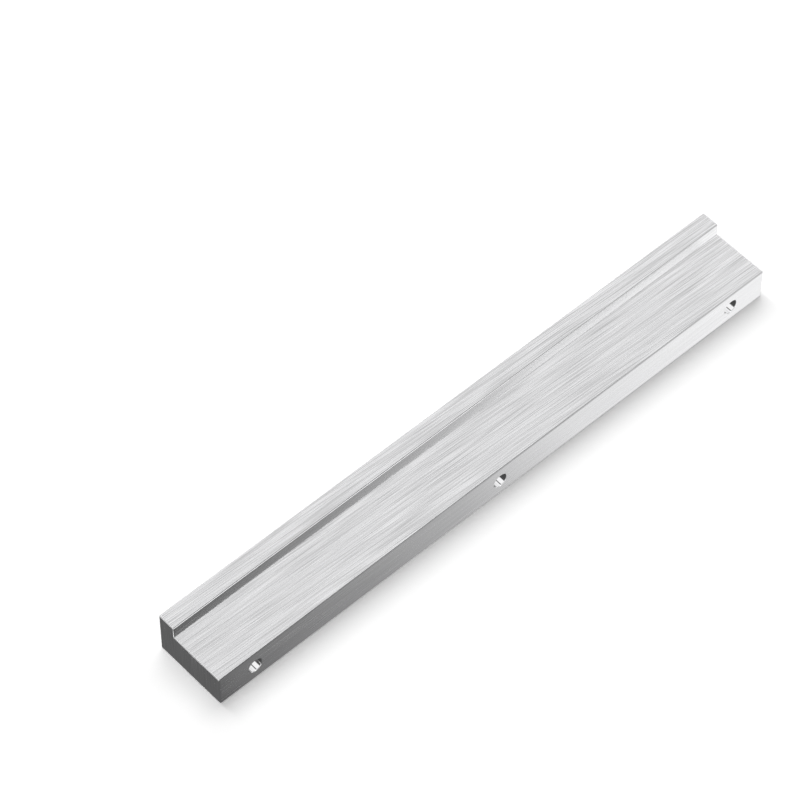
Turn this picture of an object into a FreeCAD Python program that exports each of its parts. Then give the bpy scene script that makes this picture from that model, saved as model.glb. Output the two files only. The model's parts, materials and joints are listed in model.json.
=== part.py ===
# Cabinet pull: a solid aluminium bar of rebated section, screwed to a drawer or door edge.
#
# The bar is one piece of stock. Its section has two parts:
#   the web stands off the drawer front and carries the screw holes in its narrow back face,
#   the lip stands up from the web's front edge, and the fingers hook behind it.
#
# Frame, in millimetres: X runs along the bar and Z is up as the bar lies on its flat side.
# The mounting face is the plane Y = 0 and faces +Y, so the bar reaches forward to -Y.
# The origin is where the middle screw hole's axis meets the mounting face.

import FreeCAD, Part
import math
import os

# Along the bar
HOLE_COUNT = 3
HOLE_SPACING = 96.0  # centre to centre, so the two end screws are 192 apart
END_MARGIN = 13.5  # from an end screw's axis to the bar's end

# Across the section
PROJECTION = 26.2  # mounting face to front face
WEB_THICKNESS = 12.0  # also the height of the mounting face
LIP_THICKNESS = 6.4
LIP_REACH = 4.5  # how far the lip stands up above the web

# Edges
EDGE_RADIUS = 0.4  # every outer edge, those round the sawn ends included
ROOT_RADIUS = 0.15  # inner corner between the web and the lip, as the cutter leaves it

# Screw holes
HOLE_DIAMETER = 5.0
HOLE_DEPTH = 12.0  # of the full diameter, below the mounting face
DRILL_POINT_ANGLE = 118.0
RIM_BREAK = 0.2  # 45 degree break at the hole's mouth

LENGTH = (HOLE_COUNT - 1) * HOLE_SPACING + 2 * END_MARGIN
BACK_Y = 0.0
FRONT_Y = -PROJECTION
STEP_Y = FRONT_Y + LIP_THICKNESS
BOTTOM_Z = -WEB_THICKNESS / 2
WEB_TOP_Z = WEB_THICKNESS / 2
LIP_TOP_Z = WEB_TOP_Z + LIP_REACH

OUTER_CORNERS = [
    (BACK_Y, BOTTOM_Z),
    (BACK_Y, WEB_TOP_Z),
    (STEP_Y, LIP_TOP_Z),
    (FRONT_Y, LIP_TOP_Z),
    (FRONT_Y, BOTTOM_Z),
]


def end_point(y, z):
    """A point of the section, at the bar's lower end in X."""
    return FreeCAD.Vector(-LENGTH / 2, y, z)


def section_outline():
    """The closed outline: straight sides, with an arc in the root between web and lip."""
    bottom_back = end_point(BACK_Y, BOTTOM_Z)
    top_back = end_point(BACK_Y, WEB_TOP_Z)
    root_start = end_point(STEP_Y + ROOT_RADIUS, WEB_TOP_Z)
    root_end = end_point(STEP_Y, WEB_TOP_Z + ROOT_RADIUS)
    lip_back = end_point(STEP_Y, LIP_TOP_Z)
    lip_front = end_point(FRONT_Y, LIP_TOP_Z)
    bottom_front = end_point(FRONT_Y, BOTTOM_Z)

    diagonal = ROOT_RADIUS * math.sqrt(0.5)
    root_middle = end_point(
        STEP_Y + ROOT_RADIUS - diagonal, WEB_TOP_Z + ROOT_RADIUS - diagonal
    )
    sides = [
        Part.LineSegment(bottom_back, top_back),
        Part.LineSegment(top_back, root_start),
        Part.Arc(root_start, root_middle, root_end),
        Part.LineSegment(root_end, lip_back),
        Part.LineSegment(lip_back, lip_front),
        Part.LineSegment(lip_front, bottom_front),
        Part.LineSegment(bottom_front, bottom_back),
    ]
    return Part.Wire([side.toShape() for side in sides])


def is_outer_edge(edge):
    """True for an edge that is broken by hand: round either end, or along an outer corner."""
    box = edge.BoundBox
    if box.XLength < LENGTH / 2:
        return True
    return any(
        math.hypot(box.YMin - y, box.ZMin - z) < EDGE_RADIUS for y, z in OUTER_CORNERS
    )


def make_bar():
    """The sawn length of stock, with all its outer edges rounded together.

    One fillet call makes them all, so three edges that meet at a corner close in a ball
    and the round at each end runs through the root without a break.
    """
    section = Part.Face(section_outline())
    stock = section.extrude(FreeCAD.Vector(LENGTH, 0, 0))
    outer_edges = [edge for edge in stock.Edges if is_outer_edge(edge)]
    return stock.makeFillet(EDGE_RADIUS, outer_edges)


def make_drill(x):
    """What the drill and the countersink take out at one hole, turned about its axis.

    The tool stands proud of the mounting face by its own radius, so that the cut is clean.
    """
    radius = HOLE_DIAMETER / 2
    half_point = math.radians(DRILL_POINT_ANGLE / 2)
    point_height = radius / math.tan(half_point)
    proud = radius
    profile = [
        (0.0, BACK_Y + proud),
        (radius + RIM_BREAK + proud, BACK_Y + proud),
        (radius, BACK_Y - RIM_BREAK),
        (radius, BACK_Y - HOLE_DEPTH),
        (0.0, BACK_Y - HOLE_DEPTH - point_height),
        (0.0, BACK_Y + proud),
    ]
    points = [FreeCAD.Vector(x + r, y, 0) for r, y in profile]
    half_section = Part.Face(Part.makePolygon(points))
    axis_point = FreeCAD.Vector(x, 0, 0)
    return half_section.revolve(axis_point, FreeCAD.Vector(0, 1, 0), 360)


def hole_positions():
    """X of each screw hole, evenly spaced about the middle of the bar."""
    first = -(HOLE_COUNT - 1) * HOLE_SPACING / 2
    return [first + i * HOLE_SPACING for i in range(HOLE_COUNT)]


def make_pull():
    """The finished pull: the rounded bar, drilled from its mounting face."""
    drills = [make_drill(x) for x in hole_positions()]
    return make_bar().cut(drills)


pull = make_pull().Solids[0]

os.makedirs("parts", exist_ok=True)
pull.exportStep("parts/pull_bar.step")

box = pull.BoundBox
print("valid:", pull.isValid(), " faces:", len(pull.Faces))
print(f"size: {box.XLength:.2f} x {box.YLength:.2f} x {box.ZLength:.2f} mm")
print(f"volume: {pull.Volume / 1000:.2f} cm3")
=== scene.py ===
# %% [markdown]
# # A brushed aluminium cabinet pull
#
# The real pull is one length of aluminium bar. Its section is a flat web, which stands off the
# drawer front and takes the screws, with a small lip along the front edge for the fingertips.
# The bar is sawn to length, its edges are eased, its faces are brushed and three holes are
# drilled in the narrow face behind.
#
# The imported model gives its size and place. This script makes the same bar again with finer
# edges and a finish for each kind of surface, and lights it as small metal goods are lit.

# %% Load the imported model
import json
import math
import bpy
from mathutils import Matrix, Vector


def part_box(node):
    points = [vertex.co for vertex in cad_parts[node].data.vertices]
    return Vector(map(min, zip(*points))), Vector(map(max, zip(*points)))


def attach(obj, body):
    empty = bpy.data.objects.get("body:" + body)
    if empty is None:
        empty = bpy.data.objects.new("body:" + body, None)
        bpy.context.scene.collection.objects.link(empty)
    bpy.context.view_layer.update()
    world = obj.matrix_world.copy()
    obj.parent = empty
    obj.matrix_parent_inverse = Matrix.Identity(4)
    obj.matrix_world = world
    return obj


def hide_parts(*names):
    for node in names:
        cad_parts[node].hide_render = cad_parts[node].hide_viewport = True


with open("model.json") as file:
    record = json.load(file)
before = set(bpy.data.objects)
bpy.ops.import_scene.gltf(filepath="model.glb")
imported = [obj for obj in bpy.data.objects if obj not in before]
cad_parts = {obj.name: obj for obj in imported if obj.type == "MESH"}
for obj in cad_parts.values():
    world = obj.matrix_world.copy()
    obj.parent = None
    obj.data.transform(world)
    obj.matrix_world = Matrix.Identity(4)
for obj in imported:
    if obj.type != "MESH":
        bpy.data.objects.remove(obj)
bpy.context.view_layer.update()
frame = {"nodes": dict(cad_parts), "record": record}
mm = 0.001
print("packed nodes:", sorted(frame["nodes"]))

# %% [markdown]
# ## Sizes
#
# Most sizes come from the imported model, so the dressed bar follows it if it changes. The box of
# the node gives the length, the projection and both heights, and the mounts give the screw
# holes. The mounting face is centred on the holes, so the web is twice as thick as the box
# reaches down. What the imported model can't tell is written here, at its real size.

# %% Sizes of the bar
low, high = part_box("pull_bar")
holes = [mount for mount in frame["record"]["mounts"] if mount["kind"] == "threaded_hole"]
hole_x = sorted(hole["pos_m"][0] for hole in holes)

LIP_THICKNESS = 6.4 * mm
EDGE_RADIUS = 0.4 * mm
ROOT_RADIUS = 0.15 * mm
RIM_BREAK = 0.2 * mm
DRILL_POINT_ANGLE = math.radians(118)

length = high.x - low.x
projection = -low.y
web_thickness = -2 * low.z
lip_reach = high.z - web_thickness / 2
hole_radius = holes[0]["dims"]["r_mm"] * mm
hole_depth = holes[0]["dims"]["length_mm"] * mm + RIM_BREAK
hole_spacing = hole_x[1] - hole_x[0]
print(f"bar {length / mm:.1f} x {projection / mm:.1f} x {(high.z - low.z) / mm:.1f} mm")
print(f"{len(holes)} holes of {2 * hole_radius / mm:.1f} mm, {hole_spacing / mm:.0f} mm apart")

# %% [markdown]
# ## A short way to write node trees
#
# Geometry and materials are both trees of nodes. Adding a node, giving it its values and joining
# it to the last one takes several lines each time. This small class does it in one, so that the
# trees below read like sums. An input takes either a value or another node's output.


# %% A helper for node trees
class Graph:
    """A node tree, with short calls that add a node and join its inputs."""

    def __init__(self, tree):
        self.tree = tree

    def node(self, kind, inputs=None, **settings):
        made = self.tree.nodes.new(kind)
        for name, value in settings.items():
            setattr(made, name, value)
        for key, value in (inputs or {}).items():
            self.join(value, made.inputs[key])
        return made

    def join(self, value, socket):
        if isinstance(value, bpy.types.NodeSocket):
            self.tree.links.new(value, socket)
        else:
            socket.default_value = value

    def sum(self, operation, *values):
        made = self.node("ShaderNodeMath", operation=operation)
        for socket, value in zip(made.inputs, values):
            self.join(value, socket)
        return made.outputs[0]

    def vector_sum(self, operation, *values):
        made = self.node("ShaderNodeVectorMath", operation=operation)
        for socket, value in zip(made.inputs, values):
            self.join(value, socket)
        return made.outputs[0]

    def scaled(self, vector, factor):
        made = self.node("ShaderNodeVectorMath", {0: vector, "Scale": factor}, operation="SCALE")
        return made.outputs[0]

    def xyz(self, x=0.0, y=0.0, z=0.0):
        return self.node("ShaderNodeCombineXYZ", {0: x, 1: y, 2: z}).outputs[0]

    def parts(self, vector):
        return self.node("ShaderNodeSeparateXYZ", {0: vector}).outputs


def new_group(kind, name, inputs, outputs):
    """A node group with named sockets, given as (name, socket type, value)."""
    tree = bpy.data.node_groups.new(name, kind)
    for in_out, sockets in (("INPUT", inputs), ("OUTPUT", outputs)):
        for label, socket_type, value in sockets:
            made = tree.interface.new_socket(label, in_out=in_out, socket_type=socket_type)
            if value is not None:
                made.default_value = value
    graph = Graph(tree)
    return graph, graph.node("NodeGroupInput").outputs, graph.node("NodeGroupOutput").inputs


FLOAT = "NodeSocketFloat"
INTEGER = "NodeSocketInt"
VECTOR = "NodeSocketVector"
GEOMETRY = "NodeSocketGeometry"
MATERIAL = "NodeSocketMaterial"

# %% [markdown]
# ## Brushed grain
#
# Brushing leaves a bundle of fine scratches that run nearly one way. Seen close, each scratch is
# a thin line some millimetres long, lighter or darker than its neighbours, and the bundle as a
# whole is a little uneven. Three layers of noise, each stretched along the brushing, give the
# hairlines, the scratches and the slow unevenness. Plain noise looks like soft clouds, so the
# first two are steepened about their middle, and then read as separate crisp lines. The group
# takes a place on the metal with its X along the brushing, so one group serves the long faces,
# the sawn ends and the bores.


# %% The grain group, shared by every finish
def grain_layer(graph, place, long, wide, detail):
    """Noise about zero whose grains have that length and width, in metres."""
    stretched = graph.vector_sum("MULTIPLY", place, (1 / long, 1 / wide, 1 / wide))
    texture = graph.node(
        "ShaderNodeTexNoise", {"Vector": stretched, "Scale": 1.0, "Detail": detail}
    )
    return graph.sum("SUBTRACT", texture.outputs[0], 0.5)


def steepened(graph, value, gain):
    """The value pushed towards plus or minus a half, which turns clouds into lines."""
    return graph.sum("MULTIPLY", graph.sum("TANH", graph.sum("MULTIPLY", value, gain)), 0.5)


def make_grain_group():
    graph, given, result = new_group(
        "ShaderNodeTree",
        "brushed grain",
        [("Place", VECTOR, None), ("Coarseness", FLOAT, 1.0)],
        [("Tone", FLOAT, None), ("Unevenness", FLOAT, None), ("Height", FLOAT, None)],
    )
    finer = graph.sum("DIVIDE", 1.0, given["Coarseness"])
    place = graph.scaled(given["Place"], finer)
    hairlines = steepened(graph, grain_layer(graph, place, 14 * mm, 0.17 * mm, 0.0), 10.0)
    scratches = steepened(graph, grain_layer(graph, place, 24 * mm, 0.23 * mm, 0.0), 10.0)
    bands = grain_layer(graph, place, 60 * mm, 1.6 * mm, 1.0)

    both = graph.sum("MULTIPLY_ADD", hairlines, 0.45, graph.sum("MULTIPLY", scratches, 0.55))
    graph.join(both, result["Tone"])
    graph.join(bands, result["Unevenness"])
    graph.join(graph.sum("ADD", both, graph.sum("MULTIPLY", bands, 0.5)), result["Height"])
    return graph.tree


brushed_grain = make_grain_group()

# %% [markdown]
# ## Finishes
#
# Each finish is bare aluminium, and differs in how it was worked. The broad faces are brushed
# along the bar, at a slight slant, and show crisp streaks. The narrow upright faces are brushed
# more finely, dead along it. The sawn ends are brushed across it. The eased edges and the bores
# are smoother, and catch the light.
#
# Brushed metal spreads a highlight across its scratches and keeps it narrow along them. That is
# anisotropy, and it needs to know which way the scratches run. The bar gets an attribute,
# "scratches", that says so on each face, and a quarter turn sets the spread across it.

# %% One way to make every finish
ALUMINIUM = (0.86, 0.86, 0.87, 1.0)
ACROSS_THE_SCRATCHES = 0.25


def shade(colour, level):
    return (*[channel * level for channel in colour[:3]], 1.0)


def make_finish(name, turn, coarseness, shades, roughness, spread, relief):
    """Bare aluminium whose grain runs along X once its coordinates are turned."""
    darkest, lightest = shades
    material = bpy.data.materials.new(name)
    material.use_nodes = True
    graph = Graph(material.node_tree)
    graph.tree.nodes.clear()

    place = graph.node("ShaderNodeTexCoord").outputs["Object"]
    turned = graph.node("ShaderNodeMapping", {"Vector": place, "Rotation": turn}).outputs[0]
    grain = graph.node("ShaderNodeGroup", node_tree=brushed_grain)
    graph.join(turned, grain.inputs["Place"])
    graph.join(coarseness, grain.inputs["Coarseness"])
    tone, unevenness, height = [grain.outputs[key] for key in ("Tone", "Unevenness", "Height")]

    lightness = graph.sum("ADD", graph.sum("MULTIPLY_ADD", unevenness, 0.2, tone), 0.5)
    colour = graph.node("ShaderNodeMix", data_type="RGBA", clamp_factor=True)
    graph.join(lightness, colour.inputs["Factor"])
    graph.join(shade(ALUMINIUM, darkest), colour.inputs["A"])
    graph.join(shade(ALUMINIUM, lightest), colour.inputs["B"])
    rough = graph.sum("MULTIPLY_ADD", graph.sum("ADD", tone, unevenness), 0.12, roughness)
    bump = graph.node("ShaderNodeBump", {"Strength": 1.0, "Distance": relief, "Height": height})
    scratches = graph.node("ShaderNodeAttribute", attribute_name="scratches")

    metal = graph.node("ShaderNodeBsdfPrincipled")
    metal.inputs["Metallic"].default_value = 1.0
    metal.inputs["Anisotropic"].default_value = spread
    metal.inputs["Anisotropic Rotation"].default_value = ACROSS_THE_SCRATCHES
    graph.join(colour.outputs["Result"], metal.inputs["Base Color"])
    graph.join(rough, metal.inputs["Roughness"])
    graph.join(bump.outputs[0], metal.inputs["Normal"])
    graph.join(scratches.outputs["Vector"], metal.inputs["Tangent"])
    surface = graph.node("ShaderNodeOutputMaterial")
    graph.join(metal.outputs[0], surface.inputs["Surface"])
    return material


# %% The five finishes of the bar
BELT_SLANT = math.radians(2.0)
UPRIGHT = math.radians(90)

broad_face = make_finish(
    "brushed broad face", (0, 0, BELT_SLANT), 1.0, (0.60, 1.15), 0.24, 0.6, 0.003 * mm
)
upright_face = make_finish(
    "brushed upright face", (0, 0, 0), 1.4, (0.93, 1.07), 0.22, 0.6, 0.002 * mm
)
sawn_end = make_finish(
    "brushed sawn end", (0, UPRIGHT, 0), 0.8, (0.86, 1.14), 0.17, 0.4, 0.003 * mm
)
eased_edge = make_finish(
    "eased edge", (0, 0, BELT_SLANT), 1.0, (0.97, 1.03), 0.12, 0.2, 0.001 * mm
)
drilled_bore = make_finish(
    "drilled bore", (0, 0, 0), 1.0, (0.96, 1.04), 0.12, 0.2, 0.001 * mm
)
finishes = {
    "Broad finish": broad_face,
    "Upright finish": upright_face,
    "End finish": sawn_end,
    "Edge finish": eased_edge,
    "Bore finish": drilled_bore,
}
print("finishes:", [material.name for material in finishes.values()])

# %% [markdown]
# ## The bar as a rule
#
# The bar follows a rule, so Geometry Nodes can make it from its sizes. The outline of the section
# has six corners, and each is a quarter turn: five go round the outside of the bar and one, the
# root behind the lip, goes the other way. A circle of points is moved onto that outline, each
# point by its number: which corner it belongs to, and how far round it.
#
# A point lies one radius from its corner's centre, along the outward direction there. The root
# counts as a negative radius, so one sum serves all six.


# %% The outline of the section
def chosen(graph, index, values):
    """The value that belongs to an index."""
    switch = graph.node("GeometryNodeIndexSwitch", data_type="FLOAT")
    while len(switch.index_switch_items) < len(values):
        switch.index_switch_items.new()
    graph.join(index, switch.inputs["Index"])
    for number, value in enumerate(values):
        graph.join(value, switch.inputs[number + 1])
    return switch.outputs[0]


def facing(graph, angle):
    """The unit direction at an angle from +Y towards +Z."""
    return graph.xyz(0.0, graph.sum("COSINE", angle), graph.sum("SINE", angle))


def outline_fields(graph, given):
    """Each outline point's arc centre, outward direction and signed radius."""
    index = graph.node("GeometryNodeInputIndex").outputs[0]
    steps = given["Round steps"]
    points_each = graph.sum("ADD", steps, 1.0)
    corner = graph.sum("FLOOR", graph.sum("DIVIDE", graph.sum("ADD", index, 0.5), points_each))
    step = graph.sum("SUBTRACT", index, graph.sum("MULTIPLY", corner, points_each))

    top = graph.sum("MULTIPLY", given["Web thickness"], 0.5)
    bottom = graph.sum("MULTIPLY", top, -1.0)
    lip_top = graph.sum("ADD", top, given["Lip reach"])
    front = graph.sum("MULTIPLY", given["Projection"], -1.0)
    lip_back = graph.sum("ADD", front, given["Lip thickness"])
    edge = given["Edge radius"]
    root = graph.sum("MULTIPLY", given["Root radius"], -1.0)

    quarter = math.pi / 2
    y = chosen(graph, corner, [0.0, 0.0, lip_back, lip_back, front, front])
    z = chosen(graph, corner, [bottom, top, top, lip_top, lip_top, bottom])
    radius = chosen(graph, corner, [edge, edge, root, edge, edge, edge])
    start = chosen(graph, corner, [-quarter, 0.0, quarter, 0.0, quarter, 2 * quarter])
    turn = chosen(graph, corner, [quarter, quarter, -quarter, quarter, quarter, quarter])

    angle = graph.sum("MULTIPLY_ADD", turn, graph.sum("DIVIDE", step, steps), start)
    end = graph.sum("ADD", start, turn)
    inward = graph.vector_sum("ADD", facing(graph, start), facing(graph, end))
    corner_point = graph.xyz(0.0, y, z)
    centre = graph.vector_sum("SUBTRACT", corner_point, graph.scaled(inward, radius))
    return centre, facing(graph, angle), radius


# %% [markdown]
# ## Rounded all the way to the sawn ends
#
# The same edge runs round each sawn end. There the section shrinks as it nears the end, as a ball
# rolled round the rim would have it: a station at an angle t on the round is set in by
# r (1 - sin t), and lies r (1 - cos t) from the end. Where three edges meet, the outline's radius
# shrinks to nothing at the same rate, which closes the corner in a ball with no extra work.


# %% Stations along the bar
def station_fields(graph, given):
    """Each station's place along X, and how far its outline is set in."""
    index = graph.node("GeometryNodeInputIndex").outputs[0]
    steps = given["Round steps"]
    last = graph.sum("MULTIPLY_ADD", steps, 2.0, 1.0)
    from_end = graph.sum("MINIMUM", index, graph.sum("SUBTRACT", last, index))
    side = graph.sum("SIGN", graph.sum("SUBTRACT", index, graph.sum("MULTIPLY", last, 0.5)))
    angle = graph.sum("MULTIPLY", graph.sum("DIVIDE", from_end, steps), math.pi / 2)
    radius = given["Edge radius"]

    back = graph.sum("SUBTRACT", 1.0, graph.sum("COSINE", angle))
    half = graph.sum("MULTIPLY", given["Length"], 0.5)
    reach = graph.sum("SUBTRACT", half, graph.sum("MULTIPLY", radius, back))
    inset = graph.sum("MULTIPLY", radius, graph.sum("SUBTRACT", 1.0, graph.sum("SINE", angle)))
    return graph.sum("MULTIPLY", reach, side), inset


def captured(graph, geometry, fields):
    """The geometry with each field kept on its points, and the kept fields."""
    node = graph.node("GeometryNodeCaptureAttribute", domain="POINT")
    for name, (kind, value) in fields.items():
        node.capture_items.new(kind, name)
        graph.join(value, node.inputs[name])
    graph.join(geometry, node.inputs["Geometry"])
    return node.outputs["Geometry"], [node.outputs[name] for name in fields]


def swept(graph, stations, outline, position):
    """The outline at every station as one closed mesh, moved to its computed place."""
    tube = graph.node(
        "GeometryNodeCurveToMesh",
        {"Curve": stations, "Profile Curve": outline, "Fill Caps": True},
    )
    placed = graph.node(
        "GeometryNodeSetPosition", {"Geometry": tube.outputs[0], "Position": position}
    )
    merged = graph.node(
        "GeometryNodeMergeByDistance", {"Geometry": placed.outputs[0], "Distance": 1e-6}
    )
    return merged.outputs[0]


def station_line(graph, count):
    line = graph.node("GeometryNodeCurvePrimitiveLine")
    even = graph.node("GeometryNodeResampleCurve", {"Curve": line.outputs[0], "Count": count})
    return even.outputs[0]


def point_ring(graph, count):
    return graph.node("GeometryNodeCurvePrimitiveCircle", {"Resolution": count}).outputs[0]


# %% The bar before it is drilled
def undrilled_bar(graph, given):
    points_each = graph.sum("ADD", given["Round steps"], 1.0)
    centre, outward, radius = outline_fields(graph, given)
    outline, (centre, outward, radius) = captured(
        graph,
        point_ring(graph, graph.sum("MULTIPLY", points_each, 6.0)),
        {
            "centre": ("VECTOR", centre),
            "outward": ("VECTOR", outward),
            "radius": ("FLOAT", radius),
        },
    )
    x, inset = station_fields(graph, given)
    stations, (x, inset) = captured(
        graph,
        station_line(graph, graph.sum("MULTIPLY", points_each, 2.0)),
        {"x": ("FLOAT", x), "inset": ("FLOAT", inset)},
    )
    from_centre = graph.scaled(outward, graph.sum("SUBTRACT", radius, inset))
    on_outline = graph.vector_sum("ADD", centre, from_centre)
    position = graph.vector_sum("ADD", on_outline, graph.xyz(x))
    return swept(graph, stations, outline, position)


# %% [markdown]
# ## Three drilled holes
#
# A twist drill leaves a round wall and a cone at the bottom, and a countersink breaks the rim.
# One tool has that whole profile, turned about its axis. It stands proud of the face by its own
# radius, so the cut is clean. The tool is repeated along a line of points, one for each screw, and
# all three are taken out of the bar at once. Nodes suit this: the count, the spacing and the
# profile stay inputs.


# %% The drilling tool, repeated along the bar
def drill_tool(graph, given):
    """The solid that one hole takes out, on the axis of the origin."""
    radius, depth, rim = given["Hole radius"], given["Hole depth"], given["Rim break"]
    half_point = graph.sum("MULTIPLY", given["Drill point angle"], 0.5)
    point = graph.sum("DIVIDE", radius, graph.sum("TANGENT", half_point))
    mouth = graph.sum("ADD", graph.sum("MULTIPLY", radius, 2.0), rim)
    bottom = graph.sum("MULTIPLY", depth, -1.0)
    tip = graph.sum("SUBTRACT", bottom, point)
    below_rim = graph.sum("MULTIPLY", rim, -1.0)

    index = graph.node("GeometryNodeInputIndex").outputs[0]
    y = chosen(graph, index, [radius, below_rim, bottom, tip])
    reach = chosen(graph, index, [mouth, radius, radius, 0.0])
    stations, (y, reach) = captured(
        graph,
        station_line(graph, 4),
        {"y": ("FLOAT", y), "reach": ("FLOAT", reach)},
    )
    angle = graph.sum("MULTIPLY", graph.sum("DIVIDE", index, given["Drill steps"]), math.tau)
    ring, (angle,) = captured(
        graph, point_ring(graph, given["Drill steps"]), {"angle": ("FLOAT", angle)}
    )
    outward = graph.xyz(graph.sum("COSINE", angle), 0.0, graph.sum("SINE", angle))
    position = graph.vector_sum("ADD", graph.scaled(outward, reach), graph.xyz(0.0, y))
    return swept(graph, stations, ring, position)


def drills(graph, given):
    """The tool at each screw, evenly spaced about the middle, with the bore's finish on it."""
    gaps = graph.sum("SUBTRACT", given["Hole count"], 1.0)
    first = graph.sum("MULTIPLY", graph.sum("MULTIPLY", gaps, given["Hole spacing"]), -0.5)
    row = graph.node(
        "GeometryNodeMeshLine",
        {
            "Count": given["Hole count"],
            "Start Location": graph.xyz(first),
            "Offset": graph.xyz(given["Hole spacing"]),
        },
    )
    tool = graph.node(
        "GeometryNodeSetMaterial",
        {"Geometry": drill_tool(graph, given), "Material": given["Bore finish"]},
    )
    placed = graph.node(
        "GeometryNodeInstanceOnPoints", {"Points": row.outputs[0], "Instance": tool.outputs[0]}
    )
    return graph.node("GeometryNodeRealizeInstances", {0: placed.outputs[0]}).outputs[0]


# %% [markdown]
# ## Which finish goes where
#
# A face that looks straight along X is a sawn end, along Y an upright face and along Z a broad
# one. A face that looks in between is part of an eased edge. The bores bring their own finish
# from the tool. The same tests say which way the scratches run: along the bar, upright on the
# ends, and round the hole in a bore.


# %% The tree that makes the whole bar
FLAT_ENOUGH = 0.9995
SHARP_ANGLE = math.radians(30)
ROUND_STEPS = 6
DRILL_STEPS = 64


def with_material(graph, geometry, selection, material):
    node = graph.node(
        "GeometryNodeSetMaterial",
        {"Geometry": geometry, "Selection": selection, "Material": material},
    )
    return node.outputs[0]


def switched(graph, test, when_false, when_true):
    node = graph.node("GeometryNodeSwitch", input_type="VECTOR")
    for key, value in (("Switch", test), ("False", when_false), ("True", when_true)):
        graph.join(value, node.inputs[key])
    return node.outputs[0]


def dressed(graph, given, geometry):
    """The drilled bar with its finishes and its direction of scratches."""
    normal = graph.node("GeometryNodeInputNormal").outputs[0]
    size = graph.vector_sum("ABSOLUTE", normal)
    size_x, size_y, size_z = graph.parts(size)
    largest = graph.sum("MAXIMUM", size_x, graph.sum("MAXIMUM", size_y, size_z))
    on_end = graph.sum("GREATER_THAN", size_x, FLAT_ENOUGH)
    upright = graph.sum("GREATER_THAN", size_y, FLAT_ENOUGH)
    on_round = graph.sum("LESS_THAN", largest, FLAT_ENOUGH)
    in_bore = graph.node("GeometryNodeMaterialSelection", {0: given["Bore finish"]}).outputs[0]
    outside = graph.sum("SUBTRACT", 1.0, in_bore)

    round_hole = graph.vector_sum("CROSS_PRODUCT", normal, (0.0, 1.0, 0.0))
    across = graph.sum("GREATER_THAN", size_x, 0.7)
    on_bar = switched(graph, across, (1.0, 0.0, 0.0), (0.0, 0.0, 1.0))
    direction = switched(graph, in_bore, on_bar, round_hole)
    marked = graph.node(
        "GeometryNodeStoreNamedAttribute",
        {"Geometry": geometry, "Name": "scratches", "Value": direction},
        data_type="FLOAT_VECTOR",
        domain="FACE",
    ).outputs[0]
    faces = with_material(graph, marked, upright, given["Upright finish"])
    ends = with_material(graph, faces, on_end, given["End finish"])
    edges = graph.sum("MULTIPLY", on_round, outside)
    return with_material(graph, ends, edges, given["Edge finish"])


def make_bar_tree():
    graph, given, result = new_group(
        "GeometryNodeTree",
        "rebated bar with drilled holes",
        [
            ("Length", FLOAT, length),
            ("Projection", FLOAT, projection),
            ("Web thickness", FLOAT, web_thickness),
            ("Lip thickness", FLOAT, LIP_THICKNESS),
            ("Lip reach", FLOAT, lip_reach),
            ("Edge radius", FLOAT, EDGE_RADIUS),
            ("Root radius", FLOAT, ROOT_RADIUS),
            ("Round steps", INTEGER, ROUND_STEPS),
            ("Hole count", INTEGER, len(holes)),
            ("Hole spacing", FLOAT, hole_spacing),
            ("Hole radius", FLOAT, hole_radius),
            ("Hole depth", FLOAT, hole_depth),
            ("Rim break", FLOAT, RIM_BREAK),
            ("Drill point angle", FLOAT, DRILL_POINT_ANGLE),
            ("Drill steps", INTEGER, DRILL_STEPS),
            ("Broad finish", MATERIAL, None),
            ("Upright finish", MATERIAL, None),
            ("End finish", MATERIAL, None),
            ("Edge finish", MATERIAL, None),
            ("Bore finish", MATERIAL, None),
        ],
        [("Bar", GEOMETRY, None)],
    )
    stock = with_material(graph, undrilled_bar(graph, given), True, given["Broad finish"])
    drilled = graph.node("GeometryNodeMeshBoolean", operation="DIFFERENCE", solver="EXACT")
    graph.join(stock, drilled.inputs["Mesh 1"])
    graph.join(drills(graph, given), drilled.inputs["Mesh 2"])
    bar = drilled.outputs[0]

    angle = graph.node("GeometryNodeInputMeshEdgeAngle").outputs[0]
    gentle = graph.sum("LESS_THAN", angle, SHARP_ANGLE)
    smooth = graph.node("GeometryNodeSetShadeSmooth", {0: bar, "Shade Smooth": True})
    crisp = graph.node(
        "GeometryNodeSetShadeSmooth", {0: smooth.outputs[0], "Shade Smooth": gentle}, domain="EDGE"
    )
    real = graph.node("GeometryNodeRealizeInstances", {0: crisp.outputs[0]})
    graph.join(dressed(graph, given, real.outputs[0]), result["Bar"])
    return graph.tree


bar_tree = make_bar_tree()
print("bar tree:", len(bar_tree.nodes), "nodes")

# %% [markdown]
# ## From nodes to a plain mesh
#
# The tree hangs on an object as a modifier, and a second one, Weighted Normal, makes each vertex
# face the way its largest face does. The flat faces then shade flat, and only the edges turn.
# Evaluating the object gives one plain mesh, which is the finished piece.


# %% Make the bar
def set_input(modifier, tree, name, value):
    """A modifier keeps its inputs by the socket's identifier."""
    socket = next(s for s in tree.interface.items_tree if s.name == name)
    modifier[socket.identifier] = value


def make_bar():
    maker = bpy.data.objects.new("bar_maker", bpy.data.meshes.new("bar_maker"))
    bpy.context.scene.collection.objects.link(maker)
    nodes = maker.modifiers.new("bar", "NODES")
    nodes.node_group = bar_tree
    for name, material in finishes.items():
        set_input(nodes, bar_tree, name, material)
    level = maker.modifiers.new("weighted", "WEIGHTED_NORMAL")
    level.keep_sharp = True

    ready = maker.evaluated_get(bpy.context.evaluated_depsgraph_get())
    mesh = bpy.data.meshes.new_from_object(ready)
    mesh.name = "dressed_pull_bar"
    piece = bpy.data.objects.new("dressed_pull_bar", mesh)
    bpy.context.scene.collection.objects.link(piece)
    bpy.data.objects.remove(maker)
    return piece


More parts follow.
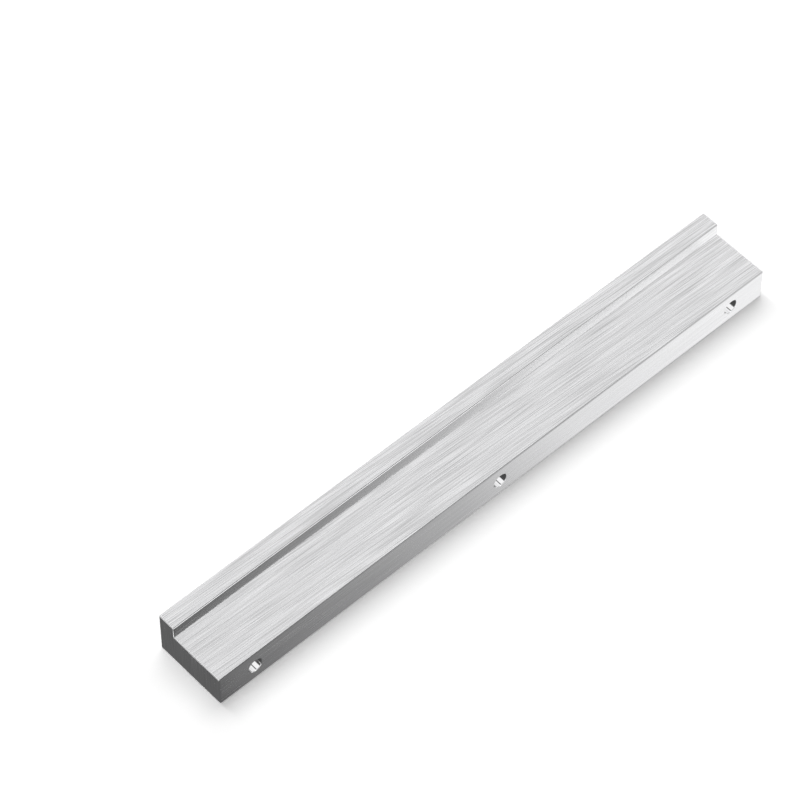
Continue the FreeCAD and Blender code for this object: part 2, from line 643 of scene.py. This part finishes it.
pull = make_bar()
pull.data.calc_loop_triangles()
corners = [
    [pull.data.vertices[number].co for number in triangle.vertices]
    for triangle in pull.data.loop_triangles
]
volume = sum(a.dot(b.cross(c)) for a, b, c in corners) / 6
print(f"dressed bar: {len(corners)} triangles, {volume / (10 * mm) ** 3:.2f} cm3")
print("its finishes:", [m.name for m in pull.data.materials])
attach(pull, "root")
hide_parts("pull_bar")
pull.visible_glossy = False

# %% [markdown]
# ## The table
#
# The bar lies on a plain pale table. The table's own colour is nearly white, and the last step to
# white comes from a small share of light that only the camera, reflections and glass see, so the
# bar's soft shadow stays on it. That share is smaller close to the bar and grows behind and beyond
# it, so a painted shade deepens the bar's shadow near it and the rest of the table is plain white.

# %% A pale table
TABLE_HALF = 3.0
TABLE_COLOUR = 0.88
WHITE_SHARE = 0.29
# MORE_WHITE is the glow that the table loses close to the bar, which is painted shade.
MORE_WHITE = 0.09
PAINTED_SHADE_FULL_TO = 8 * mm
PAINTED_SHADE_GONE_AT = 45 * mm


def flat_sheet(name, rectangles, z):
    """Flat rectangles at one height, given as (x from, x to, y from, y to)."""
    points, faces = [], []
    for x0, x1, y0, y1 in rectangles:
        first = len(points)
        points += [(x0, y0, z), (x1, y0, z), (x1, y1, z), (x0, y1, z)]
        faces.append(range(first, first + 4))
    mesh = bpy.data.meshes.new(name)
    mesh.from_pydata(points, [], [list(face) for face in faces])
    sheet = bpy.data.objects.new(name, mesh)
    bpy.context.scene.collection.objects.link(sheet)
    return sheet


def rising(graph, value, start, end):
    """Zero below start, one above end, and smooth between."""
    node = graph.node(
        "ShaderNodeMapRange",
        {"Value": value, "From Min": start, "From Max": end},
        interpolation_type="SMOOTHSTEP",
    )
    return node.outputs[0]


def seen_directly(graph):
    """One for rays from the camera, from reflections and through glass."""
    path = graph.node("ShaderNodeLightPath").outputs
    mirrored = graph.sum("MAXIMUM", path["Is Glossy Ray"], path["Is Transmission Ray"])
    return graph.sum("MAXIMUM", path["Is Camera Ray"], mirrored)


def table_material():
    material = bpy.data.materials.new("pale table")
    material.use_nodes = True
    graph = Graph(material.node_tree)
    surface = graph.tree.nodes["Principled BSDF"]
    surface.inputs["Base Color"].default_value = (TABLE_COLOUR, TABLE_COLOUR, TABLE_COLOUR, 1.0)
    surface.inputs["Roughness"].default_value = 1.0
    surface.inputs["Specular IOR Level"].default_value = 0.0
    surface.inputs["Emission Color"].default_value = (1.0, 1.0, 1.0, 1.0)
    place = graph.node("ShaderNodeTexCoord").outputs["Object"]
    x, y, _ = graph.parts(graph.vector_sum("ABSOLUTE", place))
    away = graph.sum("MAXIMUM", y, graph.sum("SUBTRACT", x, high.x))
    # Painted shade: the table glows less within these distances of the bar, so it is darker close
    # to it.
    clear = rising(graph, away, PAINTED_SHADE_FULL_TO, PAINTED_SHADE_GONE_AT)
    share = graph.sum("MULTIPLY_ADD", clear, MORE_WHITE, WHITE_SHARE)
    shown = graph.sum("MULTIPLY", seen_directly(graph), share)
    graph.join(shown, surface.inputs["Emission Strength"])
    return material


table = flat_sheet("table", [(-TABLE_HALF, TABLE_HALF, -TABLE_HALF, TABLE_HALF)], low.z)
table.data.materials.append(table_material())

# %% [markdown]
# ## Glowing cards beside the bar, which paint reflections
#
# The bar's upright faces mirror what lies on the table next to them. A photographer lays a card
# there; here each card is a glowing sheet, and its tones are painted reflections. One runs dark
# near one end of the bar and pale at the other, so the face runs from dark to light and its shape
# shows. Close under the face lies a dark strip with a low lining along its front, which paints
# shade into the reflection there, and it is grey before each screw hole, so that the bores show
# two tones. A narrow flag stands close behind the top edge, so that edge doesn't flare. A small
# card beyond the near end glows brighter than white and draws the light line down the lip's
# upright edge, a painted highlight, and a low dark shield hides that card from the end face.
#
# Away from the bar the cards fade into the table's own tone, so they show no hard edge in the
# metal from other sides. Only reflections see them: they are out of the picture and cast no
# shadow.

# %% Cards that only reflections see
CARD_LIFT = 0.05 * mm
CARD_REACH = 200 * mm
GRADED_DEPTH = 40 * mm
FADE_BEHIND = (10 * mm, GRADED_DEPTH)
FADE_AHEAD = (20 * mm, 45 * mm)
FADE_BEYOND = (14.5 * mm, 28 * mm)
TABLE_LEVEL = 1.05
DARK_BACK = -0.5 * mm
DARK_FRONT = -8.5 * mm
STEP_FRONT = -15.4 * mm
STEP_PAST_END = 11 * mm
FRONT_PAST_END = 30 * mm
FRONT_GAP = 6 * mm
LINING_TOP = 0.3 * mm
FLAG_Y = 2 * mm
FLAG_HEIGHTS = (3.5 * mm, 9.5 * mm)
GRADED_TONES = [
    (-0.5, 1.0),
    (-0.42, 0.99),
    (-0.15, 0.83),
    (0.06, 0.49),
    (0.22, 0.33),
    (0.46, 0.17),
    (0.5, 0.12),
]
STEP_TONES = [
    (-0.5, 1.04),
    (-0.43, 1.12),
    (-0.2, 1.0),
    (-0.08, 0.71),
    (0.06, 0.48),
    (0.22, 0.32),
    (0.5, 0.12),
]
FLAG_TONES = [(-0.5, 0.62), (-0.2, 0.55), (0.0, 0.48), (0.5, 0.14)]
END_TONE = 0.12
FRONT_TONE = 0.75
DARK = 0.07

end = high.x
far = end + CARD_REACH
front = low.y


def even(tone):
    return [(-0.5, tone), (0.5, tone)]


def painted_reflection_material(name, tones):
    """An emission whose tone changes along the bar, as a share of its length."""
    # This glow is a painted reflection: only reflections see the card.
    material = bpy.data.materials.new(name)
    material.use_nodes = True
    graph = Graph(material.node_tree)
    graph.tree.nodes.clear()
    place = graph.node("ShaderNodeTexCoord").outputs["Object"]
    along = graph.sum("DIVIDE", graph.parts(place)[0], length)
    ramp = graph.node("ShaderNodeValToRGB")
    graph.join(graph.sum("ADD", along, 0.5), ramp.inputs[0])
    stops = ramp.color_ramp.elements
    while len(stops) < len(tones):
        stops.new(0.5)
    for stop, (position, tone) in zip(stops, tones):
        stop.position = position + 0.5
        stop.color = (tone, tone, tone, 1.0)
    x, y, _ = graph.parts(place)
    behind = rising(graph, y, *FADE_BEHIND)
    from_front = graph.sum("SUBTRACT", front, y)
    ahead = rising(graph, from_front, *FADE_AHEAD)
    from_end = graph.sum("SUBTRACT", graph.sum("ABSOLUTE", x), end)
    beyond = rising(graph, from_end, *FADE_BEYOND)
    fade = graph.sum("MAXIMUM", behind, graph.sum("MAXIMUM", ahead, beyond))
    faded = graph.node("ShaderNodeMix", {"Factor": fade}, data_type="RGBA")
    graph.join(ramp.outputs[0], faded.inputs["A"])
    graph.join((TABLE_LEVEL, TABLE_LEVEL, TABLE_LEVEL, 1.0), faded.inputs["B"])
    path = graph.node("ShaderNodeLightPath").outputs
    first_hand = graph.sum("LESS_THAN", path["Diffuse Depth"], 0.5)
    glow = graph.node(
        "ShaderNodeEmission", {"Color": faded.outputs["Result"], "Strength": first_hand}
    )
    surface = graph.node("ShaderNodeOutputMaterial")
    graph.join(glow.outputs[0], surface.inputs["Surface"])
    return material


def for_reflections_only(card, tones):
    """The card with its tones, out of sight of all but reflections."""
    card.data.materials.append(painted_reflection_material(card.name, tones))
    card.visible_camera = False
    card.visible_diffuse = False
    card.visible_shadow = False
    card.visible_transmission = False


def laid_card(name, rectangle, tones, layers=1):
    """A card flat on the table, or on another card."""
    for_reflections_only(flat_sheet(name, [rectangle], low.z + layers * CARD_LIFT), tones)


def standing_card(name, y, heights, x_range, tones):
    """An upright card along the bar, at one Y."""
    card = flat_sheet(name, [(*x_range, *heights)], -y)
    card.data.transform(Matrix.Rotation(math.radians(90), 4, "X"))
    for_reflections_only(card, tones)


# %% Cards behind, below and before the faces
# Painted reflections: the graded, step, end and front cards glow in the tones the faces mirror,
# the dark strip and its lining paint shade into the reflection under the faces, and the flag's
# tones keep the top edge dark.
laid_card("graded_card", (-far, far, DARK_BACK, GRADED_DEPTH), GRADED_TONES)
laid_card("step_card", (-end - STEP_PAST_END, end, STEP_FRONT, DARK_FRONT), STEP_TONES)
laid_card("end_card", (end, far, front - CARD_REACH, DARK_BACK), even(END_TONE))
front_card = (-end - FRONT_PAST_END, end, front - CARD_REACH, front - FRONT_GAP)
laid_card("front_card", front_card, even(FRONT_TONE))
laid_card("dark_strip", (-end, end, DARK_FRONT, DARK_BACK), even(DARK))
standing_card("dark_lining", DARK_FRONT, (low.z, LINING_TOP), (-end, end), even(DARK))
standing_card("flag", FLAG_Y, FLAG_HEIGHTS, (-far, far), FLAG_TONES)

# %% The glowing card beyond the near end that paints a highlight line, and its shield
CORNER_CARD = (end + 7 * mm, end + 11.5 * mm, -20.5 * mm, -14.2 * mm)
CORNER_TONE = 1.5
SHIELD_X = end + 5.5 * mm
SHIELD_HEIGHT = 2.7 * mm
SHIELD_WIDTH = (-24 * mm, -11 * mm)

# Painted highlight: this card glows brighter than white so the lip's upright edge shows a light
# line, and the shield is a dark sheet that keeps it out of the end face.
laid_card("near_corner_card", CORNER_CARD, even(CORNER_TONE), layers=2)
upright = (low.z, low.z + SHIELD_HEIGHT, *SHIELD_WIDTH)
shield = flat_sheet("near_corner_shield", [upright], -SHIELD_X)
shield.data.transform(Matrix.Rotation(math.radians(-90), 4, "Y"))
for_reflections_only(shield, even(END_TONE))

# %% A grey part of the dark strip before each screw hole, which paints a second tone into each bore's reflection
GREY = 0.45
GREY_PART = (-20 * mm, -7 * mm)
GREY_BACK = -2 * mm
grey_front = DARK_FRONT + CARD_LIFT

# Painted reflection: each bore mirrors this grey glow, so it shows two tones.
for number, x in enumerate(hole_x):
    x_range = (max(x + GREY_PART[0], -end), x + GREY_PART[1])
    laid_card(f"grey_strip_{number}", (*x_range, grey_front, GREY_BACK), even(GREY), layers=2)
    standing_card(f"grey_lining_{number}", grey_front, (low.z, LINING_TOP), x_range, even(GREY))

# %% [markdown]
# ## The room that the metal mirrors
#
# Bare metal has no colour of its own to show: it shows the room. The room here is dim, with soft
# bright panels, each placed where a kind of surface mirrors it: one ahead on either side, one
# behind and a faint one overhead. Plain light comes from all other sides, so the metal looks like
# metal from there too. A panel is a range of directions, with soft sides, and the world paints
# it. The camera itself sees plain white behind the table.


# %% Soft panels in the world
def product(graph, *values):
    total = values[0]
    for value in values[1:]:
        total = graph.sum("MULTIPLY", total, value)
    return total


ROOM_LEVEL = 0.10
CEILING_LEVEL = 0.1
RIGHT_FRONT_LEVEL = 1.35
BACK_LEVEL = 1.8
SIDE_LEVEL = 0.7
ENDS_MIRROR = 0.41
FACES_MIRROR = -0.2

world = bpy.data.worlds.new("studio")
bpy.context.scene.world = world
world.use_nodes = True
graph = Graph(world.node_tree)
graph.tree.nodes.clear()
direction = graph.node("ShaderNodeTexCoord").outputs["Generated"]
to_x, to_y, to_z = graph.parts(direction)
to_front = graph.sum("MULTIPLY", to_y, -1.0)
to_left = graph.sum("MULTIPLY", to_x, -1.0)

above = rising(graph, to_z, 0.05, 0.12)
front_panel = product(graph, rising(graph, to_front, 0.14, 0.22), above)
left_front = product(graph, front_panel, rising(graph, to_left, 0.18, 0.30))
right_front = product(
    graph, front_panel, rising(graph, to_x, -0.08, 0.04), rising(graph, to_z, 0.46, 0.52)
)
nearer = graph.sum("MAXIMUM", graph.sum("SUBTRACT", 0.405, to_left), 0.0)
further = graph.sum("MAXIMUM", graph.sum("SUBTRACT", to_left, 0.405), 0.0)
front_level = graph.sum("MULTIPLY_ADD", nearer, 2.4, graph.sum("MULTIPLY_ADD", further, 0.8, 1.22))
outer = graph.sum("MAXIMUM", rising(graph, to_left, 0.52, 0.7), rising(graph, to_front, 0.52, 0.7))
front_level = graph.sum("MULTIPLY_ADD", outer, -0.35, front_level)
back_panel = rising(graph, to_y, 0.62, 0.72)
leftward = rising(graph, to_left, 0.40, 0.46)
ceiling_level = graph.sum("MULTIPLY_ADD", leftward, 0.45, CEILING_LEVEL)
back_level = graph.sum("MULTIPLY_ADD", leftward, -0.85, BACK_LEVEL)
narrower = graph.sum("MULTIPLY_ADD", rising(graph, to_left, 0.2, 0.32), 0.45, 0.55)
back_level = graph.sum("MULTIPLY", back_level, narrower)
off_the_ends = graph.sum("ABSOLUTE", graph.sum("SUBTRACT", to_front, ENDS_MIRROR))
off_the_faces = graph.sum("ABSOLUTE", graph.sum("SUBTRACT", to_x, FACES_MIRROR))
sides = product(
    graph, rising(graph, off_the_ends, 0.13, 0.24), rising(graph, off_the_faces, 0.3, 0.44)
)
levels = [
    ROOM_LEVEL,
    graph.sum("MULTIPLY", rising(graph, to_z, 0.52, 0.6), ceiling_level),
    graph.sum("MULTIPLY", left_front, front_level),
    graph.sum("MULTIPLY", right_front, RIGHT_FRONT_LEVEL),
    graph.sum("MULTIPLY", back_panel, back_level),
    graph.sum("MULTIPLY", sides, SIDE_LEVEL),
]
room = levels[0]
for level in levels[1:]:
    room = graph.sum("MAXIMUM", room, level)
path = graph.node("ShaderNodeLightPath").outputs
room = graph.sum("MULTIPLY", room, graph.sum("LESS_THAN", path["Diffuse Depth"], 0.5))
strength = graph.sum("MAXIMUM", room, path["Is Camera Ray"])
background = graph.node("ShaderNodeBackground", {"Strength": strength})
surface = graph.node("ShaderNodeOutputWorld")
graph.join(background.outputs[0], surface.inputs["Surface"])
world.cycles_visibility.diffuse = False

# %% [markdown]
# ## Softboxes overhead
#
# The soft shadow falls behind the bar and beside its near end, and hardly any falls in front or
# behind the far end. So most of the light comes from a large softbox high above the front left,
# a strip softbox adds light from the front, and a small one fills from straight above. They light
# the table at a plain level. Mirrored in the metal they would blind the top faces, so reflections
# don't see them.


# %% The overhead softboxes
SOFTBOX_HEIGHT = 4.0
SOFTBOX_REACH = 3.3
STRIP = (0.1, 0.3)
FILL = (0.0, 0.2)
LARGE_POWER = 111.0
STRIP_POWER = 47.0
FILL_POWER = 38.0


def softbox(name, x_range, y_range, power):
    """A lamp that shines straight down from a rectangle above the table."""
    data = bpy.data.lights.new(name, "AREA")
    data.shape = "RECTANGLE"
    data.size = x_range[1] - x_range[0]
    data.size_y = y_range[1] - y_range[0]
    data.energy = power
    lamp = bpy.data.objects.new(name, data)
    lamp.location = (sum(x_range) / 2, sum(y_range) / 2, SOFTBOX_HEIGHT)
    lamp.visible_glossy = False
    bpy.context.scene.collection.objects.link(lamp)


in_front = (-SOFTBOX_REACH, 0.0)
softbox("large softbox", (-SOFTBOX_REACH, STRIP[0]), in_front, LARGE_POWER)
softbox("strip softbox", STRIP, in_front, STRIP_POWER)
softbox("small softbox", STRIP, FILL, FILL_POWER)

# %% [markdown]
# ## The camera
#
# The photograph was taken with a long lens from above the mounting face. The camera aims at a
# point near the bar and stands back from it along an azimuth and an elevation.

# %% The camera
AIM = Vector((7.05, -36.33, 10.21)) * mm
DISTANCE = 1.2461
AZIMUTH = math.radians(137.68)
ELEVATION = math.radians(53.77)
LENS = 189.2

camera_data = bpy.data.cameras.new("camera")
camera_data.lens = LENS
camera_data.sensor_width = 36.0
camera_data.clip_start = 0.05
camera = bpy.data.objects.new("camera", camera_data)
back = Vector(
    (
        math.sin(AZIMUTH) * math.cos(ELEVATION),
        -math.cos(AZIMUTH) * math.cos(ELEVATION),
        math.sin(ELEVATION),
    )
)
camera.location = AIM + back * DISTANCE
camera.rotation_euler = (-back).to_track_quat("-Z", "Y").to_euler()
bpy.context.scene.collection.objects.link(camera)
bpy.context.scene.camera = camera
bpy.context.scene.view_settings.view_transform = "Standard"
